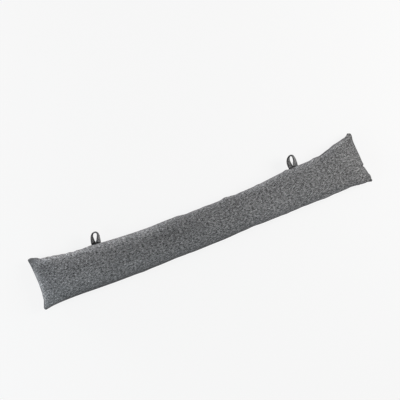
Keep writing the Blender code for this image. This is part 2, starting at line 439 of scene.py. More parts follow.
class TweedSettings(bpy.types.PropertyGroup):
    """Yarns and colours of the tweed."""

    yarn: bpy.props.FloatProperty(
        name="Yarn Pitch", description="Distance from one yarn to the next", default=0.75 * MM,
        unit="LENGTH", subtype="DISTANCE",
    )
    column_yarns: bpy.props.IntProperty(
        name="Column Yarns", description="Warp yarns in each column of the herringbone", default=10
    )
    light: bpy.props.FloatVectorProperty(
        name="Light Yarn", description="Colour of the light warp", default=(0.233, 0.235, 0.24), size=3,
        subtype="COLOR",
    )
    dark: bpy.props.FloatVectorProperty(
        name="Dark Yarn", description="Colour of the dark weft", default=(0.028, 0.029, 0.031), size=3,
        subtype="COLOR",
    )
    thread: bpy.props.FloatVectorProperty(
        name="Thread", description="Colour of the stitches on the hanging loops",
        default=(0.05, 0.052, 0.056), size=3, subtype="COLOR",
    )
    # painted light: the loops' tweed is the cover's tweed made this much lighter, for the light on the loops
    strip_shade: bpy.props.FloatProperty(
        name="Strip Shade", description="How light the loops' strip is beside the cover", default=1.25
    )
    flecks: bpy.props.FloatProperty(
        name="Flecks", description="How much the tone varies along each yarn", default=4.0
    )
    mottle: bpy.props.FloatProperty(
        name="Mottle", description="How much the tone varies from one tuft of yarns to the next",
        default=3.1,
    )
    mottle_scale: bpy.props.FloatProperty(
        name="Mottle Scale", description="Tufts in each metre of the mottle", default=230.0
    )
    patches: bpy.props.FloatProperty(
        name="Patches", description="How much the tone varies over broader patches", default=0.2
    )


class StageSettings(bpy.types.PropertyGroup):
    """Floor, lights and camera of the plain studio."""

    floor: bpy.props.FloatVectorProperty(
        name="Floor", description="Colour of the floor", default=(0.06, 0.06, 0.06), size=3,
        subtype="COLOR",
    )
    glow: bpy.props.FloatProperty(
        name="Floor Glow", description="How brightly the paper of the floor is lit from below",
        default=0.844,
    )
    key: bpy.props.FloatProperty(
        name="Key Light", description="Power of the low light at the upper left", default=19.6,
        subtype="POWER",
    )
    fill: bpy.props.FloatProperty(
        name="Fill Light", description="Power of the low light at the lower left", default=11.4,
        subtype="POWER",
    )
    right_end: bpy.props.FloatProperty(
        name="Right End Light", description="Power of the light beyond the right end", default=27.0,
        subtype="POWER",
    )
    left_end: bpy.props.FloatProperty(
        name="Left End Light", description="Power of the light beyond the left end", default=10.3,
        subtype="POWER",
    )
    surround: bpy.props.FloatProperty(
        name="Surround", description="Strength of the even light from all round", default=0.34
    )


# Shapes ---------------------------------------------------


def read_table(rows, key, column, at):
    """The value of a column at a place along a table, on a smooth curve through its rows."""
    places = [getattr(row, key) for row in rows]
    values = [getattr(row, column) for row in rows]
    last = len(rows) - 1
    at = min(max(at, places[0]), places[-1])
    start = min(sum(place <= at for place in places) - 1, last - 1)

    def slope(index):
        before, after = max(index - 1, 0), min(index + 1, last)
        return (values[after] - values[before]) / (places[after] - places[before])

    step = places[start + 1] - places[start]
    share = (at - places[start]) / step
    rise = (values[start + 1] - values[start]) * share * share * (3 - 2 * share)
    leaving = share * (1 - share) ** 2 * step * slope(start)
    arriving = share * share * (share - 1) * step * slope(start + 1)
    return values[start] + rise + leaving + arriving


def crowded_shares(steps, amount):
    """Shares from 0 to 1 in so many steps, crowded towards both ends by an amount from 0 to 1."""
    even = [step / steps for step in range(steps + 1)]
    return [(1 - amount) * share + amount * (1 - math.cos(math.pi * share)) / 2 for share in even]


def bell(distance, reach):
    """1 at no distance, falling smoothly to nothing past the reach."""
    return math.exp(-((distance / reach) ** 2))


def rising(value, middle, run):
    """0 far below a middle value and 1 far above it, changing over a run each way."""
    return 0.5 + 0.5 * math.tanh((value - middle) / run)


def doubled_grid(along_steps, across_steps, wall_cuts):
    """A closed body of two unit grids, one on the other, with walls between them."""
    bm = bmesh.new()
    bmesh.ops.create_grid(bm, x_segments=along_steps, y_segments=across_steps, size=0.5)
    twin = bmesh.ops.extrude_face_region(bm, geom=bm.faces[:])["geom"]
    twin_verts = [item for item in twin if isinstance(item, bmesh.types.BMVert)]
    bmesh.ops.translate(bm, verts=twin_verts, vec=UP)
    bmesh.ops.recalc_face_normals(bm, faces=bm.faces[:])
    upright = [edge for edge in bm.edges if abs(edge.verts[0].co.z - edge.verts[1].co.z) > 0.5]
    bmesh.ops.subdivide_edges(bm, edges=upright, cuts=wall_cuts, use_grid_fill=True)
    return bm


def finish_mesh(name, bm, material):
    """An object from a finished bmesh, smooth, with its material, riding on the body."""
    mesh = bpy.data.meshes.new(name)
    bm.to_mesh(mesh)
    bm.free()
    mesh.shade_smooth()
    mesh.materials.append(material)
    piece = bpy.data.objects.new(name, mesh)
    bpy.context.scene.collection.objects.link(piece)
    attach(piece, "root")
    return piece


def smooth_cloth(piece):
    """Rounds the cloth between its points."""
    modifier = piece.modifiers.new("Smooth cloth", "SUBSURF")
    modifier.levels = modifier.render_levels = 1


# Cover ----------------------------------------------------


def standing_out(bends, side, place):
    """How far the bends of a side of the seam stand out at a place along it in millimetres."""
    return sum(out * bell(place - middle, reach) for middle, reach, out in bends.get(side, []))


class CoverShape:
    """Where each point of the two panels lies."""

    def __init__(self, settings):
        self.settings = settings
        self.length = settings.length
        self.stations = {}

    def station(self, along_share):
        """The lower and upper edge, the filling, the seam's height and the turns of both edges there."""
        if along_share not in self.stations:
            along = along_share * SECTIONS[-1].along
            lower, upper, filling, edge_height = (
                read_table(SECTIONS, "along", column, along) for column in Section._fields[1:]
            )
            lower -= standing_out(SEAM_BENDS, "lower", along)
            upper += standing_out(SEAM_BENDS, "upper", along)
            lower_turn = standing_out(SEAM_TURNS, "lower", along)
            upper_turn = standing_out(SEAM_TURNS, "upper", along)
            values = (lower, upper, filling, edge_height, lower_turn, upper_turn)
            self.stations[along_share] = [value * MM for value in values]
        return self.stations[along_share]

    def point(self, along_share, across_share, panel):
        """A point of the face panel (1), the back panel (-1) or the middle of the sewn edge (0)."""
        lower, upper, filling, edge_height, lower_turn, upper_turn = self.station(along_share)
        y = lower + (upper - lower) * across_share
        left = self.end_inset("left", across_share, y)
        right = self.length - self.end_inset("right", across_share, y)
        x, y = self.round_corner(left + (right - left) * along_share, y, left, right, lower, upper)
        to_seam = {"left": x - left, "right": right - x, "lower": y - lower, "upper": upper - y}
        crown = (1 - abs(2 * across_share - 1) ** CROWN_POWER) ** (1 / CROWN_POWER)
        filled = self.settings.start_share * self.filled_share(to_seam)
        if panel > 0:
            depth = FACE_SHARE * filling
            x -= standing_out(SEAM_TURNS, "right", y / MM) * MM * bell(to_seam["right"], TURN_REACH)
            y += lower_turn * bell(to_seam["lower"], TURN_REACH)
            y -= upper_turn * bell(to_seam["upper"], TURN_REACH)
        else:
            depth = (1 - FACE_SHARE) * filling + min(PRESSED_IN, filling / 10)
        z = edge_height + panel * (EDGE_THICKNESS / 2 + depth * crown * filled)
        return Vector((x - self.length / 2, y, max(z, 0)))

    def end_inset(self, end, across_share, y):
        """How far an end seam stands in from the outermost point of its end."""
        inset = read_table(END_INSETS, "across", end, across_share)
        return (inset - standing_out(SEAM_BENDS, end, y / MM)) * MM

    def filled_share(self, to_seam):
        """How much of its full thickness a point keeps beside the flattened corners."""
        share = 1.0
        for corner in CORNERS:
            to_end = to_seam["left"] if corner.end < 0 else to_seam["right"]
            to_side = to_seam["lower"] if corner.side < 0 else to_seam["upper"]
            share *= 1 - corner.missing * bell(math.hypot(to_end, to_side), corner.reach * MM)
        return share

    def round_corner(self, x, y, left, right, lower, upper):
        """The place of a point once the corners of the outline are rounded."""
        radius = self.settings.corner_radius
        near_end = min(x - left, right - x)
        near_edge = min(y - lower, upper - y)
        in_end = max(0, 1 - near_end / radius)
        in_edge = max(0, 1 - near_edge / radius)
        shift_end = radius * in_end * (1 - math.sqrt(1 - in_edge**2 / 2))
        shift_edge = radius * in_edge * (1 - math.sqrt(1 - in_end**2 / 2))
        x += shift_end if x - left < right - x else -shift_end
        y += shift_edge if y - lower < upper - y else -shift_edge
        return x, y


def lengths_from_middle(line):
    """How far each point of a line lies along it from its middle one."""
    middle = len(line) // 2
    lengths = [0.0] * len(line)
    for index in range(middle + 1, len(line)):
        lengths[index] = lengths[index - 1] + (line[index] - line[index - 1]).length
    for index in range(middle - 1, -1, -1):
        lengths[index] = lengths[index + 1] - (line[index] - line[index + 1]).length
    return lengths


def cloth_lengths(points):
    """For a lattice of points, how far each lies along and across the cloth from its middle."""
    across = [lengths_from_middle(row) for row in points]
    along = [lengths_from_middle(column) for column in zip(*points)]
    return list(zip(*along)), across


def make_cover(context):
    """The filled cover, pushed out by its filling, with the rolled seam all round."""
    settings = context.scene.excluder_cover
    along_shares = crowded_shares(settings.along_steps, END_CROWDING)
    across_shares = sorted(crowded_shares(settings.across_steps, EDGE_CROWDING) + FOLD_LINES)
    shape = CoverShape(settings)
    panels = {
        panel: [[shape.point(along, across, panel) for across in across_shares] for along in along_shares]
        for panel in (1, -1)
    }
    lengths = {panel: cloth_lengths(points) for panel, points in panels.items()}

    rows, columns = len(along_shares) - 1, len(across_shares) - 1
    bm = doubled_grid(rows, columns, WALL_CUTS)
    places = [(round((vert.co.x + 0.5) * rows), round((vert.co.y + 0.5) * columns)) for vert in bm.verts]
    levels = [2 * vert.co.z - 1 for vert in bm.verts]
    bm.verts.index_update()
    map_cloth(bm, places, levels, lengths)
    for vert in bm.verts:
        i, j = places[vert.index]
        vert.co = panels[-1][i][j].lerp(panels[1][i][j], (levels[vert.index] + 1) / 2)
    bm.normal_update()
    rim = {vert.index: rim_direction(vert) for vert in bm.verts if abs(levels[vert.index]) < AT_EDGE}
    from_seam = [
        seam_distances(lengths[1 if level > 0 else -1], i, j) for (i, j), level in zip(places, levels)
    ]

    piece = finish_mesh("filled_cover", bm, bpy.data.materials["herringbone_tweed"])
    fill(context, piece, from_seam)
    fold_surface(piece, from_seam, levels, settings)
    roll_seam(piece, rim, levels, settings)
    shade_cloth(piece, from_seam, levels)
    smooth_cloth(piece)
    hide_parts("cover")


def map_cloth(bm, places, levels, lengths):
    """Lays the tweed on both panels without stretching it, each cut from its own part of the cloth."""
    cloth_map = bm.loops.layers.uv.new("cloth")
    rows, columns = max(places)
    for face in bm.faces:
        panel = 1 if sum(levels[vert.index] for vert in face.verts) > 0 else -1
        along, across = lengths[panel]
        shift_along, shift_across = (0, 0) if panel > 0 else BACK_SHIFT
        for loop in face.loops:
            i, j = places[loop.vert.index]
            wall = (1 - abs(levels[loop.vert.index])) * EDGE_THICKNESS / 2
            u = along[i][j] + wall * ((i == rows) - (i == 0))
            v = across[i][j] + wall * ((j == columns) - (j == 0))
            loop[cloth_map].uv = (u + shift_along, v + shift_across)


def seam_distances(lengths, i, j):
    """How far a point of a panel lies from each side of the seam, along the cloth."""
    along, across = lengths
    return {
        "left": along[i][j] - along[0][j],
        "right": along[-1][j] - along[i][j],
        "lower": across[i][j] - across[i][0],
        "upper": across[i][-1] - across[i][j],
    }


def rim_direction(vert):
    """The level direction straight out of the seam at one of its points."""
    out = Vector((vert.normal.x, vert.normal.y, 0))
    return out.normalized() if out.length > 0 else Vector((0, 1, 0))


def fill(context, piece, from_seam):
    """Pushes the cloth out with its filling, held at the seam, and keeps the result."""
    settings = context.scene.excluder_cover
    nearest = [min(distances.values()) for distances in from_seam]
    pins = piece.vertex_groups.new(name="seam")
    pins.add([index for index, distance in enumerate(nearest) if distance <= 0], 1.0, "REPLACE")
    ease = piece.vertex_groups.new(name="ease")
    start = [vert.co.copy() for vert in piece.data.vertices]
    for vert, distance in zip(piece.data.vertices, nearest):
        weight = bell(distance, settings.ease_reach)
        ease.add([vert.index], weight, "REPLACE")
        if distance > 0:
            vert.co += FIRST_WRINKLE * weight * noise.noise_vector(vert.co * WRINKLES)
    for vert, old, new in zip(piece.data.vertices, start, settled_places(context, piece)):
        move = new - old
        if move.length > 0:
            move *= settings.most_give * math.tanh(move.length / settings.most_give) / move.length
        vert.co = old + move


def settled_places(context, piece):
    """Where the points of the cloth lie once the filling's pressure has pushed it out."""
    settings = context.scene.excluder_cover
    modifier = piece.modifiers.new("Filling", "CLOTH")
    cloth = modifier.settings
    cloth.quality = 6
    cloth.mass = 0.3
    cloth.tension_stiffness = 25
    cloth.compression_stiffness = 25
    cloth.shear_stiffness = 8
    cloth.bending_stiffness = 0.4
    cloth.use_pressure = True
    cloth.uniform_pressure_force = settings.pressure
    cloth.vertex_group_mass = "seam"
    cloth.vertex_group_shrink = "ease"
    cloth.shrink_min = 0
    cloth.shrink_max = -settings.seam_ease
    cloth.effector_weights.gravity = 0
    modifier.point_cache.frame_start = 1
    modifier.point_cache.frame_end = LAST_FRAME
    for number in range(1, LAST_FRAME + 1):
        context.scene.frame_set(number)
    evaluated = piece.evaluated_get(context.evaluated_depsgraph_get())
    places = [vert.co.copy() for vert in evaluated.to_mesh().vertices]
    evaluated.to_mesh_clear()
    piece.modifiers.remove(modifier)
    context.scene.frame_set(1)
    return places


def scattered_puckers(chance, run, settings):
    """Puckers at uneven distances along a run of the seam, where the thread gathers up the cloth."""
    puckers, place = [], chance.uniform(*PUCKER_START) * MM
    while place < run:
        puckers.append(
            Pucker(
                place=place,
                slant=chance.uniform(-0.5, 0.5),
                width=chance.uniform(3.6, 6.5) * MM,
                peak=chance.uniform(3.5, 8) * MM,
                height=settings.pucker * chance.uniform(0.25, 1.0),
            )
        )
        place += chance.uniform(*PUCKER_SPACING) * MM
    return puckers


def pucker_lift(puckers, place, inward):
    """How far the puckers of a side lift the cloth at a place along it, so far in from the seam."""
    lift = 0.0
    for pucker in puckers:
        off = (place - pucker.place - pucker.slant * inward) / pucker.width
        if abs(off) < PUCKER_END:
            share = inward / pucker.peak
            ridge = (1 - 2 * off * off) * math.exp(-off * off)
            lift += pucker.height * ridge * share * math.exp(1 - share)
    return lift


def face_relief(x, y):
    """How high the swells and creases of the face stand at a place in millimetres, and the painted light
    (above 0) or painted shade on them.
    """
    height = tone = 0.0
    for swell in SWELLS:
        share = bell(x - swell.x, swell.reach_x) * bell(y - swell.y, swell.reach_y)
        height += swell.height * share
        tone += swell.tone * share
    point = Vector((x, y))
    for crease in CREASES:
        start, end = Vector((crease.x0, crease.y0)), Vector((crease.x1, crease.y1))
        nearest, along = geometry.intersect_point_line(point, start, end)
        distance = (point - nearest.to_2d()).length / crease.width
        if -CREASE_LEAD < along < 1 and distance < CREASE_END:
            share = math.sqrt(1 - along) * min(1, 1 + along / CREASE_LEAD) * bell(distance, 1)
            height += crease.height * share
            tone += crease.tone * share
    return height, tone


def fold_surface(piece, from_seam, levels, settings):
    """Adds the swells and creases of the face and the puckers along the seam."""
    chance = random.Random(PUCKER_CHANCE)
    runs = {"upper": settings.length, "lower": settings.length, "left": END_RUN, "right": END_RUN}
    puckers = {
        (panel, side): scattered_puckers(chance, run, settings)
        for panel in (1, -1)
        for side, run in runs.items()
    }
    normals = [vert.normal.copy() for vert in piece.data.vertices]
    for vert, normal, distances, level in zip(piece.data.vertices, normals, from_seam, levels):
        x, y = vert.co.x, vert.co.y
        lift = 0.0
        for side, inward in distances.items():
            if inward < PUCKER_REACH:
                place = x + settings.length / 2 if side in ("upper", "lower") else y + END_RUN / 2
                lift += pucker_lift(puckers[1 if level > 0 else -1, side], place, inward)
        vert.co += normal * lift
        if level > 0:
            held = bell(min(distances.values()), HELD_REACH)
            vert.co.z += face_relief(x / MM, y / MM)[0] * MM * (1 - held)
        vert.co.z = max(vert.co.z, 0)


def roll_seam(piece, rim, levels, settings):
    """Shapes the rolled edges of the two panels and the stitched groove between them."""
    for index, out in rim.items():
        in_groove = abs(levels[index]) < GROOVE_LEVEL
        piece.data.vertices[index].co += out * (-settings.groove if in_groove else settings.lip)


def seam_shade(distances, level, x):
    """How much painted shade (above 0) or painted light (below 0) the cloth gets in and beside the seam, at a
    level of it and x in millimetres.
    """
    side = min(distances, key=distances.get)
    nearest = distances[side]
    seam = SEAM_SHADES[side]
    if nearest <= 0:
        return (1 - (1 - PANEL_SHADE) * abs(level)) * seam.in_seam
    to_end = min(distances["left"], distances["right"])
    to_side = min(distances["lower"], distances["upper"])
    bands = seam.band * bell(nearest - seam.middle, seam.reach) + seam.broad * bell(nearest, seam.broad_reach)
    bands *= 1 - CORNER_EASE * bell(math.hypot(to_end, to_side), seam.corner_fade)
    if side == "lower":
        bands *= 1 - RIGHT_EASE * rising(x, RIGHT_EASE_X, RIGHT_EASE_RUN)
    return bands if level >= 0 else max(0, BACK_SHADE * bands)


def shade_cloth(piece, from_seam, levels):
    """Marks the painted shade and painted light at each point of the cloth, beside its own tone, and how even
    its tone is.
    """
    shade = piece.data.attributes.new("cloth_shade", "FLOAT", "POINT")
    even = piece.data.attributes.new("cloth_even", "FLOAT", "POINT")
    for index, (vert, distances, level) in enumerate(zip(piece.data.vertices, from_seam, levels)):
        x, y = vert.co.x / MM, vert.co.y / MM
        value = seam_shade(distances, level, x)
        if level > 0:
            in_nib = bell(math.hypot(x - NIB_X, y - NIB_Y), NIB_REACH)
            # painted shade on the folded corner, and the painted light and shade of the swells and creases
            value += NIB_SHADE * in_nib - face_relief(x, y)[1]
            even.data[index].value = min(1, NIB_EVENNESS * in_nib)
        shade.data[index].value = value


# Hanging loops --------------------------------------------


def strip_middle(loop, way, thickness):
    """A point of the strip's middle line, across and up from the seam, and its turn there."""
    height, across, turn = (
        read_table(STRIPS[loop.name], "way", column, way) for column in StripRow._fields[1:]
    )
    lean = loop.lean_run * max(height, 0) ** LEAN_POWER
    return Vector((across * MM + lean, height * (loop.height - thickness / 2))), math.radians(turn)


class StripPath:
    """The path of a hanging loop's strip from one end in the seam over its fold to the other."""

    def __init__(self, context, loop):
        cover = context.scene.excluder_cover
        shape = CoverShape(cover)
        self.loop = loop
        self.width = context.scene.excluder_loops.width
        self.thickness = context.scene.excluder_loops.thickness
        left, right = END_INSETS[-1].left * MM, END_INSETS[-1].right * MM
        before, seat, after = (
            shape.point((loop.along + step - left) / (cover.length - left - right), 1, 0)
            for step in (-self.width, 0, self.width)
        )
        self.on_way = (after - before).normalized()
        self.outward = UP.cross(self.on_way).normalized()
        self.seat = seat + self.outward * LOOP_GAP

    def frame(self, way):
        """The middle of the strip, the way it runs, and the directions of its width and thickness."""
        (across, height), turn = strip_middle(self.loop, way, self.thickness)
        if abs(way) > 1 - WAY_STEP:
            run = Vector((0, -way))
        else:
            run = strip_middle(self.loop, way + WAY_STEP, self.thickness)[0]
            run = run - strip_middle(self.loop, way - WAY_STEP, self.thickness)[0]
        run.normalize()
        ahead = self.on_way * run.x + self.outward * run.y
        flat_way = UP * math.cos(turn) + UP.cross(ahead) * math.sin(turn)
        middle = self.seat + self.on_way * across + self.outward * height
        return middle, ahead, flat_way, ahead.cross(flat_way)

    def length(self):
        """How long the strip is along its middle."""
        middles = [self.frame(2 * step / LENGTH_STEPS - 1)[0] for step in range(LENGTH_STEPS + 1)]
        return sum((after - before).length for before, after in zip(middles, middles[1:]))

    def half_thickness(self, share):
        """Half the strip's thickness at a share of its half width, rounded at its two long edges."""
        in_edge = max(0, (abs(share) - ROUND_FROM) / (1 - ROUND_FROM))
        rounded = EDGE_SHARE + (1 - EDGE_SHARE) * math.sqrt(max(0, 1 - in_edge**2))
        return self.thickness / 2 * (rounded - STITCH_PRESS * bell(share - STITCH_LINE, PRESS_REACH))


def edge_reach(share, level):
    """How far across a point of the strip's section lies: dipped at its open edge, round at its fold."""
    if share > AT_EDGE:
        return share * (1 - OPEN_EDGE_DIP * (1 - abs(level)))
    if share < -AT_EDGE:
        return share * (1 + FOLDED_EDGE_BULGE * (1 - level**2))
    return share


def strip_shade(loop, way, share):
    """How much painted shade the strip gets: at its ends in the seam, along its edges and on its left leg."""
    crushed = loop.crushed * rising(abs(way), BASE_SHADE_FROM, BASE_SHADE_RUN)
    in_edge = loop.edges * max(0, (abs(share) - DARK_EDGE_FROM) / (1 - DARK_EDGE_FROM))
    return min(DARKEST, max(crushed, in_edge) + loop.left_leg * rising(-way, 0, LEG_RUN))


def make_loop(context, loop):
    """A hanging loop: a folded strip bent up over its top and turned flat into the seam at both ends."""
    path = StripPath(context, loop)
    length = path.length()
    bm = doubled_grid(context.scene.excluder_loops.steps, STRIP_ACROSS_STEPS, STRIP_WALL_CUTS)
    cloth_map = bm.loops.layers.uv.new("cloth")
    # each point's painted shade, read by the strip's material
    shade = bm.verts.layers.float.new("cloth_shade")
    for face in bm.faces:
        shift = loop.along + (STRIP_SHIFT if sum(vert.co.z for vert in face.verts) > 2 else 0)
        for corner in face.loops:
            flat = corner.vert.co
            corner[cloth_map].uv = (flat.x * length, flat.y * path.width + shift)
    for vert in bm.verts:
        way, share, level = 2 * vert.co.x, 2 * vert.co.y, 2 * vert.co.z - 1
        middle, _, flat_way, thick_way = path.frame(way)
        across = flat_way * path.width / 2 * edge_reach(share, level)
        vert.co = middle + across + thick_way * path.half_thickness(share) * level
        vert[shade] = strip_shade(loop, way, share)
    name = loop.name.replace("hanging_", "")
    piece = finish_mesh(name, bm, bpy.data.materials["herringbone_strip"])
    smooth_cloth(piece)
    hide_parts(loop.name)
    stitches = make_stitches(path, name + "_stitches")


def make_stitches(path, name):
    """The row of stitches that closes the strip beside its open edge, on both of its faces."""
    bm = bmesh.new()
    size = Matrix.Diagonal((*STITCH_SIZE, 1))
    for step in range(int(2 * STITCH_END / STITCH_STEP) + 1):
        middle, ahead, flat_way, thick_way = path.frame(step * STITCH_STEP - STITCH_END)
        turn = Matrix((ahead, flat_way, thick_way)).transposed().to_4x4()
        on_line = middle + flat_way * path.width / 2 * STITCH_LINE
        for side in (1, -1):
            place = on_line + thick_way * side * (path.half_thickness(STITCH_LINE) + STITCH_RISE)
            matrix = Matrix.Translation(place) @ turn @ size
            bmesh.ops.create_uvsphere(bm, u_segments=8, v_segments=6, radius=1, matrix=matrix)
    bmesh.ops.recalc_face_normals(bm, faces=bm.faces[:])
    return finish_mesh(name, bm, bpy.data.materials["stitching_thread"])


# Materials ------------------------------------------------


TWILL = 4.0  # two yarns over and two under
YARN_WAVE = 1.2 * MM  # how far the yarns stray from straight lines
WAVE_SCALE = 60.0  # waves of the yarns in each metre
FLECK_SCALE = 240.0  # flecks along each metre of a yarn
FLECK_SPREAD = 3.7  # keeps the flecks of neighbouring yarns apart
WAVE_SHIFT, FLECK_SHIFT = 3.0, 9.0  # keep the waves and flecks of the warp and the weft apart
TUFT_SHAPE = (0.68, 1.08)  # the tufts of the mottle are longer along the cloth than across it
PATCH_SCALE = 55.0  # broader patches in each metre
# painted shade between the yarns, and painted light on their tops
BETWEEN_YARNS, YARN_TOPS = 0.6, 0.5  # how light it is between the yarns, and how much more on their tops
YARN_RELIEF, RELIEF_STRENGTH = 0.25 * MM, 0.6
CLOTH_ROUGHNESS, CLOTH_SPECULAR = 0.85, 0.25
THREAD_ROUGHNESS, PAPER_ROUGHNESS = 0.6, 0.9


class Nodes:
    """Adds nodes to a material and links them."""

    def __init__(self, name):
        self.material = bpy.data.materials.new(name)
        self.material.use_nodes = True
        self.tree = self.material.node_tree
        self.shader = self.tree.nodes["Principled BSDF"]

    def put(self, value, socket):
        """Sets a socket to a value, or links it to another socket."""
        if isinstance(value, bpy.types.NodeSocket):
            self.tree.links.new(value, socket)
        else:
            socket.default_value = value

    def math(self, operation, *values):
        """A Math node's result."""
        node = self.tree.nodes.new("ShaderNodeMath")
        node.operation = operation
        for value, socket in zip(values, node.inputs):
            self.put(value, socket)
        return node.outputs[0]

    def vector(self, x, y, z=0.0):
        """A vector from three values."""
        node = self.tree.nodes.new("ShaderNodeCombineXYZ")
        for value, socket in zip((x, y, z), node.inputs):
            self.put(value, socket)
        return node.outputs[0]

    def noise(self, place, scale, detail=2.0, roughness=0.5):
        """Noise around 0.5 at a place."""
        node = self.tree.nodes.new("ShaderNodeTexNoise")
        self.put(place, node.inputs["Vector"])
        node.inputs["Scale"].default_value = scale
        node.inputs["Detail"].default_value = detail
        node.inputs["Roughness"].default_value = roughness
        return node.outputs["Fac"]

    def around_one(self, noise_value, amount):
        """A factor around 1 from a noise, varied by an amount."""
        return self.math("MULTIPLY_ADD", self.math("SUBTRACT", noise_value, 0.5), amount, 1.0)

    def times(self, *values):
        """The product of some values."""
        product = values[0]
        for value in values[1:]:
            product = self.math("MULTIPLY", product, value)
        return product

    def attribute(self, name):
        """A value that is marked on the mesh."""
        node = self.tree.nodes.new("ShaderNodeAttribute")
        node.attribute_name = name
        return node.outputs["Fac"]

    def mix(self, share, first, second):
        """A mix of two values or colours."""
        node = self.tree.nodes.new("ShaderNodeMix")
        node.data_type = "RGBA"
        sockets = {socket.name: socket for socket in node.inputs if socket.enabled}
        self.put(share, sockets["Factor"])
        self.put(first, sockets["A"])
        self.put(second, sockets["B"])
        return next(socket for socket in node.outputs if socket.enabled)


def weave(n, settings, cloth, u, v):
    """Where the warp lies on top of the weft, how high the upper yarn stands, and its flecked tone.

    The ends are the yarns of the warp, and the picks are those of the weft.
    """
    wave = n.noise(cloth, WAVE_SCALE)
    wave_across = n.noise(n.vector(v, u, WAVE_SHIFT), WAVE_SCALE)
    pick_at = n.math("DIVIDE", n.math("MULTIPLY_ADD", wave, YARN_WAVE, u), settings.yarn)
    end_at = n.math("DIVIDE", n.math("MULTIPLY_ADD", wave_across, YARN_WAVE, v), settings.yarn)
    pick, end = n.math("FLOOR", pick_at), n.math("FLOOR", end_at)
    columns = float(settings.column_yarns)
    middle_of_end = n.math("ADD", end, 0.5)
    column = n.math("FLOOR", n.math("DIVIDE", middle_of_end, columns))
    odd = n.times(n.math("FLOORED_MODULO", column, 2.0), TWILL / 2)
    zigzag = n.math("PINGPONG", middle_of_end, columns)
    step = n.math("ADD", n.math("ADD", pick, zigzag), odd)
    warp_up = n.math("LESS_THAN", n.math("FRACT", n.math("DIVIDE", step, TWILL)), 0.5)
    weft_up = n.math("SUBTRACT", 1.0, warp_up)

    warp_round = n.math("SINE", n.times(n.math("FRACT", end_at), math.pi))
    weft_round = n.math("SINE", n.times(n.math("FRACT", pick_at), math.pi))
    height = n.math("ADD", n.times(warp_up, warp_round), n.times(weft_up, weft_round))

    warp_place = n.vector(n.times(u, FLECK_SCALE), n.times(end, FLECK_SPREAD))
    warp_flecks = n.noise(warp_place, 1.0)
    weft_place = n.vector(n.times(pick, FLECK_SPREAD), n.times(v, FLECK_SCALE), FLECK_SHIFT)
    weft_flecks = n.noise(weft_place, 1.0)
    warp_tone = n.around_one(warp_flecks, settings.flecks)
    weft_tone = n.around_one(weft_flecks, settings.flecks)
    tone = n.math("ADD", n.times(warp_up, warp_tone), n.times(weft_up, weft_tone))
    return warp_up, height, tone


def make_tweed(context, name, lightness):
    """Herringbone tweed of a light warp and a dark weft, each yarn with its own flecks."""
    settings = context.scene.excluder_tweed
    n = Nodes(name)
    uv = n.tree.nodes.new("ShaderNodeUVMap")
    uv.uv_map = "cloth"
    cloth = uv.outputs["UV"]
    split = n.tree.nodes.new("ShaderNodeSeparateXYZ")
    n.put(cloth, split.inputs[0])
    u, v = split.outputs[0], split.outputs[1]
    warp_up, height, tone = weave(n, settings, cloth, u, v)
    tufts = n.vector(n.times(u, TUFT_SHAPE[0]), n.times(v, TUFT_SHAPE[1]))
    tuft_noise = n.noise(tufts, settings.mottle_scale, detail=1.0, roughness=0.6)
    mottle = n.around_one(tuft_noise, settings.mottle)
    patches = n.around_one(n.noise(cloth, PATCH_SCALE, roughness=0.6), settings.patches)

    # Where the cloth is marked as even, its tone doesn't vary with the flecks and tufts.
    uneven = n.math("SUBTRACT", 1.0, n.attribute("cloth_even"))
    speckle = n.math("MULTIPLY_ADD", n.math("MULTIPLY_ADD", tone, mottle, -1.0), uneven, 1.0)
    # painted shade between the yarns, lighter on their tops
    on_top = n.math("MULTIPLY_ADD", height, YARN_TOPS, BETWEEN_YARNS)
    # the painted shade and painted light marked on the cover and the strips darken or lighten the tweed here
    painted_lighting = n.math("SUBTRACT", 1.0, n.attribute("cloth_shade"))
    scaled = n.tree.nodes.new("ShaderNodeVectorMath")
    scaled.operation = "SCALE"
    n.put(n.mix(warp_up, (*settings.dark, 1.0), (*settings.light, 1.0)), scaled.inputs[0])
    n.put(n.times(on_top, speckle, patches, painted_lighting, lightness), scaled.inputs["Scale"])
    n.put(scaled.outputs[0], n.shader.inputs["Base Color"])
    n.shader.inputs["Roughness"].default_value = CLOTH_ROUGHNESS
    n.shader.inputs["Specular IOR Level"].default_value = CLOTH_SPECULAR
    bump = n.tree.nodes.new("ShaderNodeBump")
    bump.inputs["Strength"].default_value = RELIEF_STRENGTH
    bump.inputs["Distance"].default_value = YARN_RELIEF
    n.put(height, bump.inputs["Height"])
    n.put(bump.outputs["Normal"], n.shader.inputs["Normal"])


def plain_material(name, colour, roughness):
    """A material of one colour."""
    n = Nodes(name)
    n.shader.inputs["Base Color"].default_value = (*colour, 1.0)
    n.shader.inputs["Roughness"].default_value = roughness
    return n.material


# Stage ----------------------------------------------------


PICTURE_SPAN = 1.0236  # metres that the picture shows at the height of the view's centre
VIEW_CENTRE = Vector((20.4, 47.7, 28)) * MM
VIEW_ROLL = math.radians(-21.22)
VIEW_DISTANCE = 5.0
SENSOR = 36.0  # millimetres

FLOOR_HALF = 8.0  # half the floor's side
FLOOR_DROP = 0.3 * MM  # between the floor and the surface that the cover's underside lies in
AIM = Vector((0, 0, 30)) * MM  # what the lights face
KEY_PLACE, FILL_PLACE = Vector((-1.26, 1.26, 0.25)), Vector((-1.26, -1.26, 0.25))
RIGHT_END_PLACE, LEFT_END_PLACE = Vector((1.474, 0, 1.032)), Vector((-1.474, 0, 1.032))
LOW_SIZE, END_SIZE = (1.0, 0.3), (0.8, 0.8)  # the lights' sides
COOL, WARM, NEUTRAL = (0.9, 1.01, 1.07), (1.02, 0.995, 0.96), (1.02, 0.99, 1.01)


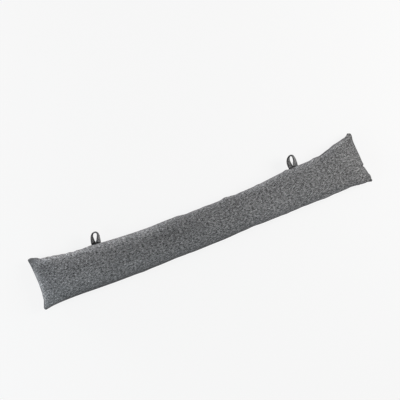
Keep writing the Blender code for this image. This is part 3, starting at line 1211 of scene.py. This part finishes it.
def add_light(name, power, place, size, colour):
    """A soft light, a rectangle that faces the excluder and isn't seen itself."""
    light = bpy.data.lights.new(name, "AREA")
    light.shape = "RECTANGLE"
    light.size, light.size_y = size
    light.energy = power
    light.color = colour
    holder = bpy.data.objects.new(name, light)
    holder.location = place
    holder.rotation_euler = (AIM - place).to_track_quat("-Z", "Y").to_euler()
    holder.visible_camera = False
    bpy.context.scene.collection.objects.link(holder)


def make_floor(context):
    """A floor of pale paper that is lit from below, so that hardly a shadow shows on it."""
    settings = context.scene.excluder_stage
    bm = bmesh.new()
    bmesh.ops.create_grid(bm, x_segments=1, y_segments=1, size=FLOOR_HALF)
    bmesh.ops.translate(bm, verts=bm.verts, vec=-FLOOR_DROP * UP)
    mesh = bpy.data.meshes.new("floor")
    bm.to_mesh(mesh)
    bm.free()
    paper = plain_material("lit_paper", settings.floor, PAPER_ROUGHNESS)
    shader = paper.node_tree.nodes["Principled BSDF"]
    shader.inputs["Emission Color"].default_value = (1.0, 1.0, 1.0, 1.0)
    shader.inputs["Emission Strength"].default_value = settings.glow
    mesh.materials.append(paper)
    floor = bpy.data.objects.new("floor", mesh)
    context.scene.collection.objects.link(floor)


def make_lights(context):
    """Two low lights from the left, one beyond each end, and even light from all round."""
    settings = context.scene.excluder_stage
    add_light("key", settings.key, KEY_PLACE, LOW_SIZE, NEUTRAL)
    add_light("fill", settings.fill, FILL_PLACE, LOW_SIZE, COOL)
    add_light("right_end_light", settings.right_end, RIGHT_END_PLACE, END_SIZE, WARM)
    add_light("left_end_light", settings.left_end, LEFT_END_PLACE, END_SIZE, COOL)
    world = bpy.data.worlds.new("surround")
    world.use_nodes = True
    background = world.node_tree.nodes["Background"]
    background.inputs["Color"].default_value = (1, 1, 1, 1)
    background.inputs["Strength"].default_value = settings.surround
    context.scene.world = world


def make_camera(context):
    """The camera, straight above the face and turned as in the photo."""
    camera = bpy.data.cameras.new("camera")
    camera.sensor_width = SENSOR
    camera.lens = SENSOR * VIEW_DISTANCE / PICTURE_SPAN
    camera.clip_end = 50
    holder = bpy.data.objects.new("camera", camera)
    holder.location = VIEW_CENTRE + UP * VIEW_DISTANCE
    holder.rotation_euler = (0, 0, VIEW_ROLL)
    context.scene.collection.objects.link(holder)
    context.scene.camera = holder
    context.scene.view_settings.view_transform = "Standard"


# Operators ------------------------------------------------


class ExcluderOperator:
    """What the operators share."""

    bl_options = {"REGISTER", "UNDO"}


class MakeTweed(ExcluderOperator, bpy.types.Operator):
    """Make the tweed of the cover and of the hanging loops"""

    bl_idname = "excluder.make_tweed"
    bl_label = "Make Tweed"

    def execute(self, context):
        settings = context.scene.excluder_tweed
        make_tweed(context, "herringbone_tweed", 1.0)
        # the same tweed made lighter for the loops: painted light
        make_tweed(context, "herringbone_strip", settings.strip_shade)
        plain_material("stitching_thread", settings.thread, THREAD_ROUGHNESS)
        return {"FINISHED"}


class MakeCover(ExcluderOperator, bpy.types.Operator):
    """Make the filled cover"""

    bl_idname = "excluder.make_cover"
    bl_label = "Make Cover"

    def execute(self, context):
        make_cover(context)
        return {"FINISHED"}


class MakeLoops(ExcluderOperator, bpy.types.Operator):
    """Make the two hanging loops"""

    bl_idname = "excluder.make_loops"
    bl_label = "Make Hanging Loops"

    def execute(self, context):
        for loop in LOOPS:
            make_loop(context, loop)
        return {"FINISHED"}


class MakeStage(ExcluderOperator, bpy.types.Operator):
    """Make the floor, the lights and the camera"""

    bl_idname = "excluder.make_stage"
    bl_label = "Make Stage"

    def execute(self, context):
        make_floor(context)
        make_lights(context)
        make_camera(context)
        return {"FINISHED"}


class ExcluderPanel(bpy.types.Panel):
    """Lists the settings and the operators"""

    bl_idname = "VIEW3D_PT_excluder"
    bl_label = "Draught Excluder"
    bl_space_type = "VIEW_3D"
    bl_region_type = "UI"
    bl_category = "Draught Excluder"

    def draw(self, context):
        for group, operator in (
            (context.scene.excluder_tweed, MakeTweed),
            (context.scene.excluder_cover, MakeCover),
            (context.scene.excluder_loops, MakeLoops),
            (context.scene.excluder_stage, MakeStage),
        ):
            box = self.layout.box()
            for name in group.__annotations__:
                box.prop(group, name)
            box.operator(operator.bl_idname)


GROUPS = {
    "excluder_cover": CoverSettings,
    "excluder_loops": LoopSettings,
    "excluder_tweed": TweedSettings,
    "excluder_stage": StageSettings,
}
OPERATORS = (MakeTweed, MakeCover, MakeLoops, MakeStage)


def register():
    """Registers the settings, the operators and the panel."""
    for name, group in GROUPS.items():
        bpy.utils.register_class(group)
        setattr(bpy.types.Scene, name, bpy.props.PointerProperty(type=group))
    for operator in OPERATORS:
        bpy.utils.register_class(operator)
    bpy.utils.register_class(ExcluderPanel)


def unregister():
    """Takes away what register added."""
    bpy.utils.unregister_class(ExcluderPanel)
    for operator in OPERATORS:
        bpy.utils.unregister_class(operator)
    for name, group in GROUPS.items():
        delattr(bpy.types.Scene, name)
        bpy.utils.unregister_class(group)


def main():
    """Makes the draught excluder and its stage."""
    register()
    bpy.ops.excluder.make_tweed()
    bpy.ops.excluder.make_cover()
    bpy.ops.excluder.make_loops()
    bpy.ops.excluder.make_stage()


if __name__ == "__main__":
    main()
